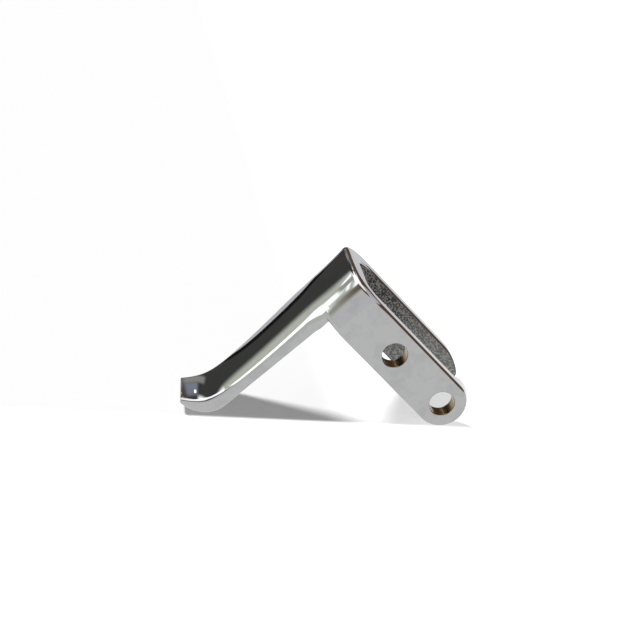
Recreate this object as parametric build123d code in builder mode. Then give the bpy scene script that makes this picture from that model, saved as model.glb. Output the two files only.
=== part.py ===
from build123d import *
import os
from math import acos, atan2, cos, degrees, radians, sin, sqrt

# One chromed zinc die casting: a crowned lever arm whose plate turns at a right angle into a fork of two flat
# cheeks. It stands as an upside-down V, on the arm's curled tip and on the cheeks' rounded ends.
# Millimetres. The origin is on the axis of the end bore, halfway between the cheeks. X runs from the arm's side
# to the fork's side, Y across the fork from the plain cheek to the longer one, Z up.

# Driving dimensions of the fork
cheek_width = 12.0  # across a cheek, and the diameter of its round end
cheek_thickness = 4.0
fork_width = 27.5  # over both cheeks
fork_length = 36.4  # from the end bore's axis to the arm's outer face
bore_diameter = 6.0
bore_spacing = 17.5  # from the end bore to the middle bore
plate_thickness = 3.6  # of the apex wall between the cheeks, and of the arm at its crown
slot_corner_radius = 3.0
apex_corner_radius = 6.5
bow_start = 1.0  # where the longer cheek's upper edge starts to bow down, past the end bore's axis
bow_radius = 14.0
heel_radius = 2.5  # at the longer cheek's end, where the bow meets the table

# Driving dimensions of the arm
crown_radius = 65.0  # of its outer face, across its width
arm_length = 28.0  # from the fork's lower edge to the start of the curl
arm_lean = 0.6  # how far the arm leans in under the fork along that length
root_half_width = 9.0
neck_half_width = 7.7  # where the sides start to draw in to the tip
neck_lag = 1.0  # how much later than the curl that is
draw_in_radius = 30.0  # of the sides, from there to the tip
tip_half_width = 4.8
curl_radius = 16.5  # of the outer face
curl_turn = 40.0  # of the outer face, in degrees
belly_start = 4.0  # how much later the underside starts to curl
belly_radius = 7.8
belly_turn = 80.0
root_overlap = 1.0  # how far the arm reaches up into the fork's rounded lower edge

# Driving dimensions of the edges
edge_radius = 0.5  # of the fork's edges, inside the slot and out
shoulder_radius = 0.9  # between the arm's crown and its sides

# What follows from them
half_cheek = cheek_width / 2
half_fork = fork_width / 2
slot_half_width = half_fork - cheek_thickness
slot_end = fork_length - plate_thickness

under_root = Vector(-fork_length + plate_thickness, -half_cheek)
under_end = under_root + Vector(arm_lean, -arm_length - belly_start)
under_direction = (under_end - under_root).normalized()

# The fork slopes down, by limb_slope in degrees, until the arm's belly and the cheeks' round ends touch one table
belly_centre = under_end + Vector(under_direction.Y, -under_direction.X) * belly_radius
level = (half_cheek - belly_radius) / belly_centre.length
limb_slope = degrees(atan2(belly_centre.X, -belly_centre.Y) + acos(level))

# The drawing planes have x down along the fork. In side, y runs up to the slot's rim. In rim, y runs across.
fork_direction = Vector(cos(radians(limb_slope)), 0, -sin(radians(limb_slope)))
rim_direction = Vector(sin(radians(limb_slope)), 0, cos(radians(limb_slope)))
side = Plane(origin=(0, 0, 0), x_dir=fork_direction, z_dir=(0, -1, 0))
rim = Plane(origin=(0, 0, 0), x_dir=fork_direction, z_dir=rim_direction)

# The longer cheek's heel is where its bow reaches the table
table_down = Vector(sin(radians(limb_slope)), -cos(radians(limb_slope)))
table_along = Vector(cos(radians(limb_slope)), sin(radians(limb_slope)))
bow_centre = Vector(bow_start, half_cheek - bow_radius)
bow_height = half_cheek - bow_centre.dot(table_down)
heel = table_down * half_cheek + table_along * (bow_centre.dot(table_along) + sqrt(bow_radius**2 - bow_height**2))


def crown_drop(half_width):
    """How far the crowned face has fallen, at this distance from its middle."""
    return crown_radius - sqrt(crown_radius**2 - half_width**2)


# The arm: the crowned section is carried along the outer face's line, then trimmed to its taper as seen from above
# the crown, and to its underside as seen from the side
root_height = root_overlap - half_cheek
root = Plane(origin=side.from_local_coords(Vector(-fork_length, root_height)), x_dir=(0, 1, 0), z_dir=rim_direction)
above = Plane(origin=(0, 0, 0), x_dir=(0, 1, 0), z_dir=fork_direction)
section_depth = 2 * plate_thickness
section_edge = -crown_drop(half_fork)
neck_height = -half_cheek - arm_length - neck_lag
tip_drop = curl_radius * sin(radians(curl_turn)) + plate_thickness / 4
with BuildPart() as arm:
    with BuildSketch(root):
        with BuildLine():
            ThreePointArc((-half_fork, section_edge), (0, 0), (half_fork, section_edge))
            Polyline(
                (half_fork, section_edge),
                (half_fork, -section_depth),
                (-half_fork, -section_depth),
                (-half_fork, section_edge),
            )
        make_face()
    with BuildLine(side):
        run = Line((-fork_length, root_height), (-fork_length + arm_lean, -half_cheek - arm_length))
        JernArc(run @ 1, run % 1, curl_radius, -curl_turn)
    sweep()
    with BuildSketch(above.offset(-fork_length - section_depth)):
        with BuildLine():
            taper = Line((root_half_width, -half_cheek), (neck_half_width, neck_height))
            end = taper @ 1 + (taper % 1) * 2 * tip_drop
            Polyline(taper @ 1, end, (0, end.Y))
            Polyline((0, root_height), (root_half_width, root_height), (root_half_width, -half_cheek))
            mirror(about=Plane.YZ)
        make_face()
    extrude(amount=3 * section_depth, mode=Mode.INTERSECT)
    # The two long edges of the crown, as far as the tip
    crown_side = edges().filter_by(lambda edge: (edge @ 0.5).dot(fork_direction) < -fork_length + plate_thickness / 2)
    shoulders = crown_side.filter_by(
        lambda edge: abs((edge @ 0.5).Y) > tip_half_width and (edge @ 0.5).dot(rim_direction) < -cheek_width
    )
    fillet(shoulders, shoulder_radius)
    # The sides draw in to the tip
    with BuildSketch(above.offset(-fork_length - section_depth)):
        with BuildLine():
            tip = (tip_half_width, -half_cheek - arm_length - tip_drop)
            draw_in = RadiusArc((neck_half_width, neck_height), tip, draw_in_radius)
            Polyline(tip, (tip_half_width, 2 * tip[1]), (fork_width, 2 * tip[1]), (fork_width, neck_height), draw_in @ 0)
        make_face()
        mirror(about=Plane.YZ)
    extrude(amount=3 * section_depth, mode=Mode.SUBTRACT)
    with BuildSketch(side.offset(-half_fork)):
        with BuildLine():
            Line(under_root, under_end)
            belly = JernArc(under_end, under_direction, belly_radius, -belly_turn)
            outside = -fork_length - section_depth
            Polyline(
                belly @ 1,
                (outside, (belly @ 1).Y),
                (outside, root_height),
                (under_root.X, root_height),
                under_root,
            )
        make_face()
    extrude(amount=fork_width, mode=Mode.INTERSECT)

with BuildPart() as lever_bracket:
    # The longer cheek's outline, carried over the full width: its upper edge bows down to a heel, and its foot lies
    # flat on the table
    with BuildSketch(side.offset(-half_fork)):
        with BuildLine():
            beyond = -fork_length - plate_thickness
            Polyline((bow_start, half_cheek), (beyond, half_cheek), (beyond, -half_cheek), (0, -half_cheek))
            foot = CenterArc((0, 0), half_cheek, -90, limb_slope)
            Line(foot @ 1, heel)
            RadiusArc(heel, (bow_start, half_cheek), -bow_radius)
        make_face()
        fillet(vertices().sort_by(Axis.X)[-1], heel_radius)
    extrude(amount=fork_width)
    # The plan: the crowned face with its round corners, and the slot, open at the cheeks' ends
    with BuildSketch(rim.offset(-cheek_width)):
        with BuildLine():
            corner = -fork_length + crown_drop(half_fork)
            ThreePointArc((corner, -half_fork), (-fork_length, 0), (corner, half_fork))
            Polyline((corner, half_fork), (fork_width, half_fork), (fork_width, -half_fork), (corner, -half_fork))
        make_face()
        fillet(vertices().group_by(Axis.X)[0], apex_corner_radius)
        with BuildSketch(mode=Mode.PRIVATE) as slot:
            with Locations((fork_width, 0)):
                Rectangle(2 * (fork_width + slot_end), 2 * slot_half_width)
            fillet(vertices().group_by(Axis.X)[0], slot_corner_radius)
        add(slot.sketch, mode=Mode.SUBTRACT)
    extrude(amount=2 * cheek_width, mode=Mode.INTERSECT)
    # The plain cheek is cut back to a full round about the end bore
    with BuildSketch(side):
        with BuildLine():
            end = CenterArc((0, 0), half_cheek, -90, 180)
            Polyline(end @ 1, (fork_width, half_cheek), (fork_width, -fork_width), (0, -fork_width), end @ 0)
        make_face()
    extrude(amount=fork_width, mode=Mode.SUBTRACT)
    # Every sharp edge is rounded. The others are where a round runs into a flat: along the rim's normal, and short
    # ones straight across a cheek
    across_cheek = edges().filter_by(Axis.Y).filter_by(lambda edge: edge.length < 2 * cheek_thickness)
    seams = edges().filter_by(Axis((0, 0, 0), rim_direction)) + across_cheek
    fillet(edges().filter_by(lambda edge: not any(edge.is_same(seam) for seam in seams)), edge_radius)
    # The two bores through both cheeks
    with BuildSketch(side.offset(-half_fork)):
        with Locations((0, 0), (-bore_spacing, 0)):
            Circle(bore_diameter / 2)
    extrude(amount=fork_width, mode=Mode.SUBTRACT)
    add(arm.part)

lever_bracket.part.label = "lever_bracket"
os.makedirs("parts", exist_ok=True)
export_step(lever_bracket.part, "parts/lever_bracket.step")
print("solids", len(lever_bracket.solids()), "volume", lever_bracket.part.volume, lever_bracket.part.bounding_box())
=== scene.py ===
"""The looks of a chromed zinc lever bracket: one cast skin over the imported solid, on a white table.

The skin is worked out in the casting's own directions, in millimetres: u runs down the fork from the arm to
the cheeks' ends, y across the fork, n up towards the slot's rim. The end bore's axis is the origin.
"""

import bpy
import numpy as np
from mathutils import Matrix


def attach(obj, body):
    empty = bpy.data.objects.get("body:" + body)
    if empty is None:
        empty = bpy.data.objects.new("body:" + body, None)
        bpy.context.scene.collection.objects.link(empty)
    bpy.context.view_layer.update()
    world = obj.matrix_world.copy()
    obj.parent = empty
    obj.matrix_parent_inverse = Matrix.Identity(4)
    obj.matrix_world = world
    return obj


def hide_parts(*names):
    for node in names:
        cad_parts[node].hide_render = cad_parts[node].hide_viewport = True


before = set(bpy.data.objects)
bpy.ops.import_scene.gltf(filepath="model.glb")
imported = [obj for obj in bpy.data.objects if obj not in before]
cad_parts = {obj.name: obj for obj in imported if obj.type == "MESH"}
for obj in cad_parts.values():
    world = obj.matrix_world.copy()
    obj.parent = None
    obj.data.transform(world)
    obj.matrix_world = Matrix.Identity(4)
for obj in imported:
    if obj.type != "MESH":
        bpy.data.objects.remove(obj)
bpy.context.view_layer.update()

# The fork's sizes, as in the part's source
slope = np.radians(45.508299)
cheek_radius = 6.0
half_fork = 13.75
half_slot = 9.75
outer_face = -36.4  # the u of the arm's outer face, at its crown
wall = 3.6  # at the slot's end, and the arm's thickness at its crown
bore_radius = 3.0
bore_spacing = 17.5
crown_radius = 65.0
bow_start = 1.0  # the u at which the far cheek's upper edge starts to bow down
bow_radius = 14.0
heel_radius = 2.5

# The fork's cast corners, rounder on the far side. By the rim the far one flares and the near one draws in
far_corner_radius = 7.5
near_corner_radius = 6.4
far_slot_radius = 6.5
near_slot_radius = 3.0
corner_bend = 0.0045
flare_from = -5.0  # the height n above which it does
flare_start = 3.0  # how far across it sets in, and over what width
flare_width = 7.0
draw_from = -2.0  # the same for the near one
draw_start = 5.0
draw_width = 6.0

# Edges and holes
rim_edge = 0.75
apex_edge_more = 0.55  # by which the rim's edge grows towards the apex
apex_edge_at = -26.0  # the u at which it starts to, and over what length
apex_edge_length = 9.0
slot_edge = 0.5
arm_edge = 0.9
tip_edge = 0.3
bore_edge = 0.25
far_bore_radius = 2.6

# The arm's line seen from the side. Names in _at are depths below the bores' axes, and those in _soft say how
# softly a bend sets in
lean = 0.0597
lean_soft = 3.0
curl = 1.5456
curl_at = 41.77
curl_soft = 4.546
face_bow = 0.0006
face_bow_at = 32.0
tip_at = 44.427
tip_skew = 0.0815
under_lean = 0.6
belly_at = 38.0
belly_radius = 7.8

# The arm's taper seen from above the crown, with names alike, and its shoulders
root_half_width = 9.75
neck_half_width = 7.75
neck_at = 34.0
draw_in = 0.3321
draw_in_at = 40.72
draw_in_soft = 2.246
root_length = 5.0
root_depth = 0.7
shoulder_radius = 1.0
shoulder_growth = 1.1
shoulder_length = 9.0
far_shoulder_more = 0.5  # the far shoulder is this much rounder
largest_shoulder = 0.75  # as a share of the half width there
arm_top = -4.0  # the height n at which the arm's form ends, inside the fork

cell_size = 0.24  # of the grid that the skin's net is made on

down_fork = np.array([np.cos(slope), 0.0, -np.sin(slope)])
across_fork = np.array([0.0, 1.0, 0.0])
to_rim = np.array([np.sin(slope), 0.0, np.cos(slope)])


def both(a, b, r):
    """Inside a and inside b, as distances below zero, with the edge where they cross rounded to radius r.

    Where a or b passes -r, it is the hypotenuse of how far each does, less r."""
    return np.minimum(np.maximum(a, b), -r) + np.hypot(np.maximum(a + r, 0), np.maximum(b + r, 0))


def eased(t):
    """From 0 to 1 as t does, level at both ends: t squared times (3 - 2 t)."""
    t = np.clip(t, 0, 1)
    return t * t * (3 - 2 * t)


def bent_line(u, n, top, end, radius):
    """Distance from a line to its -u side: straight from top to end, then an arc that curls to that side."""
    way = np.subtract(end, top) / np.hypot(*np.subtract(end, top))
    out = np.array([way[1], -way[0]])
    straight = (u - end[0]) * out[0] + (n - end[1]) * out[1]
    past = (u - end[0]) * way[0] + (n - end[1]) * way[1]
    centre = np.asarray(end) + radius * out
    return np.where(past > 0, radius - np.hypot(u - centre[0], n - centre[1]), straight)


def face_line(n):
    """The outer face seen from the side: u at height n, and its slope du/dn.

    Below the fork the face leans in by lean (a + r) / 2, where a is how far below it is and r is the
    hypotenuse of a and lean_soft. It curls out at the tip by curl (a + r) / 2, with a from curl_at and r from
    curl_soft. Above n = -face_bow_at it also bows outwards, by face_bow times the square of how far above
    that it is."""
    past_fork = -n - cheek_radius
    fork_bend = np.hypot(past_fork, lean_soft)
    past_curl = -n - curl_at
    curl_bend = np.hypot(past_curl, curl_soft)
    bowed = np.maximum(n + face_bow_at, 0)
    leaned = lean * (past_fork + fork_bend) / 2
    curled = curl * (past_curl + curl_bend) / 2
    u = outer_face + leaned - curled - face_bow * bowed**2
    tilt = -lean * (1 + past_fork / fork_bend) / 2 + curl * (1 + past_curl / curl_bend) / 2
    return u, tilt - 2 * face_bow * bowed


def to_outer_face(u, y, n):
    """Distance from the outer face, which is its side line, crowned across as a circle.

    By the rim the far corner bends out and the near one in, by corner_bend times the square of the height
    above flare_from and draw_from, eased in across the corner."""
    face_u, face_tilt = face_line(n)
    flare = corner_bend * np.maximum(n - flare_from, 0) ** 2 * eased((y - flare_start) / flare_width)
    draw = corner_bend * np.maximum(n - draw_from, 0) ** 2 * eased((-y - draw_start) / draw_width)
    crown_drop = crown_radius - np.sqrt(crown_radius**2 - np.minimum(np.abs(y), half_fork) ** 2)
    return (face_u + draw - flare - u) / np.hypot(1, face_tilt) + crown_drop


def fork_form(u, y, n, outer, inner):
    """Distance to the fork: its plan (crowned face, round corners, slot) and its side outline, both at once.

    The near cheek ends in a full round. The far one's upper edge bows down to a heel, as an arc of
    bow_radius, and its foot lies flat on the table."""
    far = y > 0
    across = np.abs(y)
    plan = both(across - half_fork, outer, np.where(far, far_corner_radius, near_corner_radius))
    slot = both(across - half_slot, -inner, np.where(far, far_slot_radius, near_slot_radius))
    full_round = np.hypot(np.maximum(u, 0), n) - cheek_radius
    bow = np.hypot(u - bow_start, n + bow_radius - cheek_radius) - bow_radius
    bow = np.where(u < bow_start, n - cheek_radius, bow)
    along_table = u * np.cos(slope) + n * np.sin(slope)
    to_table = u * np.sin(slope) - n * np.cos(slope)
    foot = np.where(along_table < 0, np.hypot(u, n), to_table) - cheek_radius
    foot = np.where(u < 0, -cheek_radius - n, foot)
    outline = np.where(far, both(bow, foot, heel_radius), full_round)
    fork = both(plan, outline, rim_edge + apex_edge_more * eased((apex_edge_at - u) / apex_edge_length))
    return both(fork, -slot, slot_edge)


def arm_form(u, y, n, outer, inner):
    """Distance to the arm: what lies between the crowned outer face and the underside, within a taper.

    The half width falls evenly from root to neck and is drawn in faster past the neck, as a hyperbola. Under
    the outer face it widens over root_length to meet the fork's corners. The shoulders' radius is that of the
    fork's corners by the fork, and past root_length it is shoulder_radius and a growth that fades away from
    the fork as an exponential. The tip is cut square to the outer face, a little askew."""
    far = y > 0
    below = -cheek_radius - n
    root = 1 - eased(below / root_length)
    widening = (half_fork - root_half_width) * root * eased(1 + root_depth * outer / wall)
    taper = (root_half_width - neck_half_width) / (neck_at - cheek_radius)
    past_neck = np.maximum(below + cheek_radius - draw_in_at, 0)
    drawn = draw_in * (np.hypot(past_neck, draw_in_soft) - draw_in_soft)
    half_width = root_half_width - taper * below - drawn + widening
    shoulder = shoulder_radius + shoulder_growth * np.exp(-np.maximum(below, 0) / shoulder_length)
    shoulder = shoulder + np.where(far, far_shoulder_more, 0.0)
    shoulder = shoulder + (np.where(far, far_corner_radius, near_corner_radius) - shoulder) * root
    arm = both(outer, np.abs(y) - half_width, np.minimum(shoulder, largest_shoulder * half_width))
    arm = both(arm, inner, arm_edge)
    tip_u, tip_tilt = face_line(-tip_at)
    square = ((u - tip_u) * tip_tilt + n + tip_at) / np.hypot(1, tip_tilt)
    arm = both(arm, tip_skew * y - square, tip_edge)
    return np.maximum(arm, n - arm_top)


def skin(u, y, n):
    """Distance to the casting's surface, below zero inside it: fork and arm joined, less the bores."""
    outer = to_outer_face(u, y, n)
    # the slot's end wall, and below the fork the arm's underside
    under = np.array([outer_face + wall, -cheek_radius])
    under_end = np.array([under[0] + under_lean, -belly_at])
    inner = np.where(n > -cheek_radius, u - under[0], -bent_line(u, n, under, under_end, belly_radius))
    whole = np.minimum(fork_form(u, y, n, outer, inner), arm_form(u, y, n, outer, inner))
    bore = np.where(y > 0, far_bore_radius, bore_radius)
    for centre in (0.0, -bore_spacing):
        whole = both(whole, bore - np.hypot(u - centre, n), bore_edge)
    return whole


def slopes(points):
    """The skin's gradient at these points, by central differences."""
    step = 0.004
    ways = step * np.eye(3)
    rises = [skin(*(points + way).T) - skin(*(points - way).T) for way in ways]
    return np.stack(rises, axis=1) / (2 * step)


def skin_mesh(cell):
    """The skin as a closed net of four-sided faces: one vertex in each cell that the surface crosses, and one
    face across each cell edge that it crosses. Each vertex then moves along the gradient onto the surface."""
    # the box of cells holds the whole casting
    low = np.array([-42.0, -14.6, -47.0])
    high = np.array([10.6, 14.6, 7.0])
    rounds = 6
    longest_move = 0.3 * cell
    least_steepness = 0.05
    least_length = 1e-9
    counts = np.ceil((high - low) / cell).astype(int) + 1
    ticks = [low[k] + cell * np.arange(counts[k]) for k in range(3)]
    value = skin(ticks[0][:, None, None], ticks[1][None, :, None], ticks[2][None, None, :])
    inside = value < 0
    corners = [(i, j, k) for i in (0, 1) for j in (0, 1) for k in (0, 1)]
    shape = counts - 1

    def corner(array, c):
        """The array's values at this corner of every cell."""
        return array[c[0] : c[0] + shape[0], c[1] : c[1] + shape[1], c[2] : c[2] + shape[2]]

    how_many = sum(corner(inside, c).astype(np.int8) for c in corners)
    cells = np.argwhere((how_many > 0) & (how_many < len(corners)))
    number = np.full(tuple(shape), -1)
    number[tuple(cells.T)] = np.arange(len(cells))
    # each vertex starts at the mean of the crossings on its cell's edges
    total = np.zeros((len(cells), 3))
    crossings = np.zeros((len(cells), 1))
    for axis in range(3):
        step = np.eye(3, dtype=int)[axis]
        for c in corners:
            if c[axis]:
                continue
            a = cells + c
            b = a + step
            at_a, at_b = value[tuple(a.T)], value[tuple(b.T)]
            crossed = (at_a < 0) != (at_b < 0)
            share = np.where(crossed, at_a / np.where(crossed, at_a - at_b, 1), 0)
            total += np.where(crossed[:, None], a + share[:, None] * step, 0)
            crossings += crossed[:, None]
    points = low + cell * total / crossings
    for _ in range(rounds):
        gradient = slopes(points)
        steepness = np.maximum((gradient**2).sum(1), least_steepness)
        move = -(skin(*points.T) / steepness)[:, None] * gradient
        length = np.maximum(np.linalg.norm(move, axis=1, keepdims=True), least_length)
        points = points + move * np.minimum(1, longest_move / length)
    faces = []
    for axis in range(3):
        step = np.eye(3, dtype=int)[axis]
        side, other = [np.eye(3, dtype=int)[(axis + k) % 3] for k in (1, 2)]
        a = inside[tuple(slice(None, -1) if step[k] else slice(1, -1) for k in range(3))]
        b = inside[tuple(slice(1, None) if step[k] else slice(1, -1) for k in range(3))]
        at = np.argwhere(a != b) + (1 - step)
        ring = np.stack([number[tuple((at - o).T)] for o in (side * 0, side, side + other, other)], axis=1)
        leaves = a[tuple((at - (1 - step)).T)]
        faces.append(np.where(leaves[:, None], ring, ring[:, ::-1]))
    return points, np.concatenate(faces)


def turned_to_row(vectors):
    """From the casting's own directions to the row frame's."""
    return vectors @ np.stack([down_fork, across_fork, to_rim])


def object_from(name, points, faces, normals=None):
    """A smooth object of these points and faces, with its own normals where they are given."""
    mesh = bpy.data.meshes.new(name)
    mesh.from_pydata(points, [], faces)
    mesh.update()
    mesh.shade_smooth()
    if normals is not None:
        mesh.normals_split_custom_set_from_vertices(normals)
    made = bpy.data.objects.new(name, mesh)
    bpy.context.scene.collection.objects.link(made)
    return made


points, faces = skin_mesh(cell_size)
normals = slopes(points)
normals = turned_to_row(normals / np.linalg.norm(normals, axis=1, keepdims=True))
casting = object_from("casting", 0.001 * turned_to_row(points), faces, normals)
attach(casting, "root")
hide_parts("lever_bracket")


class Value:
    """A shader socket that adds its own Math nodes when it is used in an expression."""

    def __init__(self, tree, socket):
        self.tree, self.socket = tree, socket

    def node(self, kind, settings=None, out=0, **inputs):
        """One node: its type, its settings, then the values or links of its sockets by name or place."""
        made = self.tree.nodes.new(kind)
        for name, setting in (settings or {}).items():
            setattr(made, name, setting)
        for name, given in inputs.items():
            socket = made.inputs[int(name[1:]) if name[1:].isdigit() else name.replace("_", " ")]
            if isinstance(given, Value):
                self.tree.links.new(given.socket, socket)
            else:
                socket.default_value = given
        return Value(self.tree, made.outputs[out] if made.outputs else None)

    def maths(self, operation, *values):
        """One Math node on these values."""
        sockets = {f"i{k}": value for k, value in enumerate(values)}
        return self.node("ShaderNodeMath", {"operation": operation}, **sockets)

    def __add__(self, other):
        return self.maths("ADD", self, other)

    def __sub__(self, other):
        return self.maths("SUBTRACT", self, other)

    def __mul__(self, other):
        return self.maths("MULTIPLY", self, other)

    def __rsub__(self, other):
        return self.maths("SUBTRACT", other, self)

    __radd__ = __add__
    __rmul__ = __mul__

    def larger(self, other):
        return self.maths("MAXIMUM", self, other)

    def smaller(self, other):
        return self.maths("MINIMUM", self, other)

    def without_sign(self):
        return self.maths("ABSOLUTE", self)

    def diagonal(self, other):
        """The root of the sum of this squared and the other squared."""
        return self.maths("SQRT", self * self + other * other)

    def over(self, level, soft):
        """0 below level and 1 above it, eased over the width soft on each side."""
        return self.node(
            "ShaderNodeMapRange",
            {"interpolation_type": "SMOOTHSTEP"},
            Value=self,
            From_Min=level - soft,
            From_Max=level + soft,
        )

    def under(self, level, soft):
        """1 below level and 0 above it, eased alike."""
        return 1 - self.over(level, soft)

    def within(self, low, high, soft):
        """1 between low and high, and 0 outside them, eased alike."""
        return self.over(low, soft) * self.under(high, soft)

    def along(self, direction):
        """How far a vector reaches along a direction."""
        settings = {"operation": "DOT_PRODUCT"}
        return self.node("ShaderNodeVectorMath", settings, out="Value", i0=self, i1=direction)

    def blend(self, first, second):
        """The first colour where this is 0, the second where it is 1."""
        first, second = (c if isinstance(c, Value) else (*c, 1.0) for c in (first, second))
        return self.node("ShaderNodeMix", {"data_type": "RGBA"}, out=2, i0=self, i6=first, i7=second)


def fresh_tree(holder):
    """A start for expressions in the emptied node tree of a material or world."""
    holder.use_nodes = True
    holder.node_tree.nodes.clear()
    return Value(holder.node_tree, None)


def laid_over(ground, patches):
    """The ground colour, with each patch's colour laid over it in turn where that patch's mask is 1."""
    for mask, colour in patches:
        ground = mask.blend(ground, colour)
    return ground


def chrome():
    """Bright chrome. The slot inside keeps a granular as-cast skin, and the bores' walls a golden one.

    The plating turns to its clouded colour where a coarse noise passes 0.55. The cast skin is dark, with
    grain where a fine noise passes 0.52 and glints where a finer one passes 0.67, and it is painted paler
    towards the cheeks' ends: painted light, with painted shade left deep in the slot. The two fine noises
    also raise its bumps. The slot is the roughest, then the bores."""
    plated, plated_clouded = (0.45, 0.452, 0.455), (0.41, 0.413, 0.415)
    cast_hollow, cast_grain = (0.03, 0.03, 0.028), (0.26, 0.26, 0.25)
    cast_painted_light, cast_glint = (0.34, 0.34, 0.325), (0.6, 0.6, 0.58)
    golden = (0.20, 0.13, 0.055)

    material = bpy.data.materials.new("chrome")
    start = fresh_tree(material)
    place = start.node("ShaderNodeTexCoord", out="Object")
    u, y, n = (place.along(tuple(1000 * way)) for way in (down_fork, across_fork, to_rim))
    # the slot's walls, short of the rim's rounded edge, and the bores' walls
    in_slot = y.without_sign().under(half_slot + 0.3, 0.12) * u.over(outer_face + wall - 0.3, 0.12)
    in_slot = in_slot * n.within(-cheek_radius - 0.1, cheek_radius - 0.4, 0.1)
    to_axis = u.diagonal(n).smaller((u + bore_spacing).diagonal(n))
    to_axis = to_axis + (bore_radius - far_bore_radius) * y.over(0, 1)
    in_bore = to_axis.under(bore_radius + 0.08, 0.05) * (1 - in_slot)

    def noise(scale, detail):
        return start.node("ShaderNodeTexNoise", Vector=place, Scale=scale, Detail=detail, Roughness=0.6)

    grain, speckle, cloud = noise(2500.0, 2.0), noise(5200.0, 2.0), noise(260.0, 3.0)
    # painted light: the cast skin's colour turns paler towards the cheeks' open ends, leaving painted shade
    # deep in the slot
    cast = laid_over(
        grain.over(0.52, 0.06).blend(cast_hollow, cast_grain),
        [(0.35 * u.over(-14, 14), cast_painted_light), (speckle.over(0.67, 0.03), cast_glint)],
    )
    plating = cloud.over(0.55, 0.12).blend(plated, plated_clouded)
    colour = laid_over(plating, [(in_slot, cast), (in_bore, golden)])
    rough = 0.025 + 0.40 * in_slot + 0.17 * in_bore + 0.02 * cloud
    grains = (grain + 0.4 * speckle) * in_slot
    bump = start.node("ShaderNodeBump", Strength=1.0, Distance=0.00012, Height=grains)
    skin_shader = start.node(
        "ShaderNodeBsdfPrincipled",
        Base_Color=colour,
        Metallic=1.0,
        Roughness=rough,
        Normal=bump,
    )
    start.node("ShaderNodeOutputMaterial", Surface=skin_shader)
    return material


def table_top():
    """A white table that keeps the casting's shadow, up to a straight line along the casting's front, and
    fainter by the fork. The chrome sees it evenly lit, and a little greyer far behind.

    The camera sees lit white paint with a glow added to it, which hides the shadow as far as it is bright:
    full_white in front of that line, in_shadow behind it, and by_fork there where x is over -20 mm."""
    black, white, full_white = (0, 0, 0), (0.9, 0.9, 0.9), (1.04, 1.04, 1.04)
    in_shadow, by_fork = (0.04, 0.04, 0.04), (0.48, 0.48, 0.48)
    seen_near, seen_far = (0.99, 0.99, 0.99), (0.79, 0.79, 0.82)

    material = bpy.data.materials.new("table_top")
    start = fresh_tree(material)
    place = start.node("ShaderNodeTexCoord", out="Object")
    in_front = place.along((0.1, 1, 0)).under(-0.001 * half_fork, 0.001)
    glow_seen = place.along((1, 0, 0)).over(-0.020, 0.008).blend(in_shadow, by_fork)
    glow_seen = in_front.blend(glow_seen, full_white)
    glow_reflected = place.along((0, 1, 0)).over(0.09, 0.06).blend(seen_near, seen_far)
    by_camera = start.node("ShaderNodeLightPath", out="Is Camera Ray")
    colour = by_camera.blend(black, white)
    glow = by_camera.blend(glow_reflected, glow_seen)
    top = start.node(
        "ShaderNodeBsdfPrincipled",
        Base_Color=colour,
        Roughness=0.9,
        Specular_IOR_Level=0.0,
        Emission_Color=glow,
        Emission_Strength=1.0,
    )
    start.node("ShaderNodeOutputMaterial", Surface=top)
    return material


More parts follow.
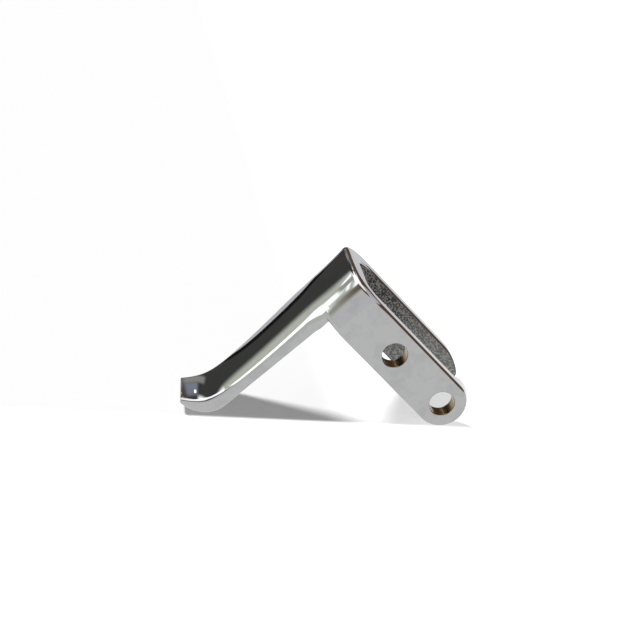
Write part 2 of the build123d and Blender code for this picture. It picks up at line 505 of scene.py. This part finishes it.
def studio_world():
    """The room, by direction. Straight behind the casting stands a dark backdrop, black along its foot, with
    a pale board in it and brown to its right. To the left of it come a pale green-grey wall with a lamp, a
    narrow brown door, and the grey wall behind the camera. Above the lamp there are windows. The lamp and the
    windows are bounded by cones about the rim's direction, as chrome bent about it shows them. Rough surfaces
    see plain white light.

    Left is how many degrees to the left of straight behind a direction lies, height how many above the table,
    and cone the cosine of its angle to the rim's direction."""
    green_wall, dim_wall = (0.87, 0.91, 0.80), (0.62, 0.64, 0.54)
    grey_wall, right_wall = (0.93, 0.93, 0.94), (0.85, 0.85, 0.87)
    door_brown, high_brown, right_brown = (0.24, 0.19, 0.125), (0.20, 0.13, 0.085), (0.17, 0.115, 0.075)
    ceiling_light, upper_light = (2.0, 2.0, 1.9), (1.5, 1.5, 1.45)
    lamp_light, window_light, sparkle_light = (3.2, 3.2, 3.1), (2.3, 2.3, 2.4), (6.0, 6.0, 6.0)
    backdrop_dark, backdrop_foot = (0.078, 0.078, 0.075), (0.012, 0.011, 0.010)
    board_grey, board_blue = (0.46, 0.45, 0.42), (0.36, 0.40, 0.48)
    plain_light, seen_white = (0.30, 0.30, 0.30), (1.0, 1.0, 1.0)

    world = bpy.data.worlds.new("studio")
    bpy.context.scene.world = world
    start = fresh_tree(world)
    way = start.node("ShaderNodeTexCoord", out="Generated")
    x, y, z = (way.along(axis) for axis in ((1, 0, 0), (0, 1, 0), (0, 0, 1)))
    height = z.maths("ARCSINE", z) * (180 / np.pi)
    left = x.maths("ARCTAN2", x, y) * (-180 / np.pi)
    cone = way.along(tuple(to_rim))

    # the lamp's foot rises with the bearing, and a narrower part of it reaches higher
    lamp = left.within(43, 98, 7) * cone.under(-0.24, 0.025) * (cone - 0.0012 * left).over(-0.46, 0.035)
    lamp = lamp.larger(left.within(50, 76, 8) * cone.within(-0.26, -0.20, 0.035))
    wall_side = laid_over(
        left.over(119, 8).blend(green_wall, grey_wall),
        [
            (left.within(92, 118, 9) * cone.over(-0.22, 0.12) * cone.under(0.08, 0.06), door_brown),
            (left.over(108, 5) * height.over(36, 4), high_brown),
            (left.over(90, 8) * height.over(60, 4), ceiling_light),
            (lamp, lamp_light),
        ],
    )
    backdrop_side = laid_over(
        height.under(2.4, 0.6).blend(backdrop_dark, backdrop_foot),
        [
            (left.within(-7, 14, 2.5) * height.within(16.5, 23.5, 2), board_grey),
            (left.within(-7, 5.5, 2.5) * height.within(23, 35, 2.5), board_blue),
            (left.under(-8, 2), right_brown),
            (left.over(-14, 3) * cone.over(0.52, 0.03), upper_light),
            (left.under(-75, 10) * height.over(27, 4), right_wall),
            (left.under(-150, 12), grey_wall),
        ],
    )
    # one broad window, one over the backdrop and two small panes
    window = left.within(33, 93, 2) * cone.over(-0.148, 0.01)
    window = window.larger(left.within(6, 40, 3) * height.over(36, 2.5))
    window = window.larger(left.within(35, 38.5, 0.8) * cone.within(-0.1915, -0.181, 0.002))
    window = window.larger(left.within(62, 82, 3) * cone.within(-0.177, -0.165, 0.003))
    room = laid_over(
        left.under(32.0, 2.2).blend(wall_side, backdrop_side),
        [
            (left.within(38, 62, 4) * cone.over(-0.198, 0.006), dim_wall),
            (window, window_light),
            ((left - 2).diagonal(height - 32).under(1.2, 0.5), sparkle_light),
        ],
    )
    by_camera = start.node("ShaderNodeLightPath", out="Is Camera Ray")
    by_chrome = start.node("ShaderNodeLightPath", out="Is Glossy Ray")
    seen = by_chrome.blend(by_camera.blend(plain_light, seen_white), room)
    sky = start.node("ShaderNodeBackground", Color=seen, Strength=1.0)
    start.node("ShaderNodeOutputWorld", Surface=sky)


casting.data.materials.append(chrome())

# The table, in metres, level with the casting's feet
table_reach = 40.0
table_height = -0.001 * cheek_radius
signs = ((-1, -1), (1, -1), (1, 1), (-1, 1))
table_corners = [(table_reach * x, table_reach * y, table_height) for x, y in signs]
table = object_from("table", table_corners, [(0, 1, 2, 3)])
table.data.materials.append(table_top())
studio_world()

# A lamp high behind the casting, which shows only in the table's shadow
overhead = bpy.data.objects.new("overhead", bpy.data.lights.new("overhead", "SUN"))
overhead.data.energy = 3.4
overhead.data.angle = np.radians(11)
overhead.rotation_euler = (np.radians(-38), np.radians(-28), 0)
overhead.visible_glossy = False
bpy.context.scene.collection.objects.link(overhead)

# The camera stands in front, a little to the left and above
camera = bpy.data.objects.new("camera", bpy.data.cameras.new("camera"))
bpy.context.scene.collection.objects.link(camera)
camera.data.lens = 110.5
camera.data.sensor_width = 36.0
camera.data.clip_start = 0.01
camera.data.clip_end = 200.0
right = np.array([0.9867, -0.1400, 0.0701])
forward = np.array([0.1564, 0.8942, -0.4194])
stand = (-0.09985, -0.41094, 0.20773)
turned = np.stack([right, np.cross(right, forward), -forward], axis=1).tolist()
camera.matrix_world = Matrix([(*row, at) for row, at in zip(turned, stand)] + [(0, 0, 0, 1)])
bpy.context.scene.camera = camera

bpy.context.scene.view_settings.view_transform = "Standard"
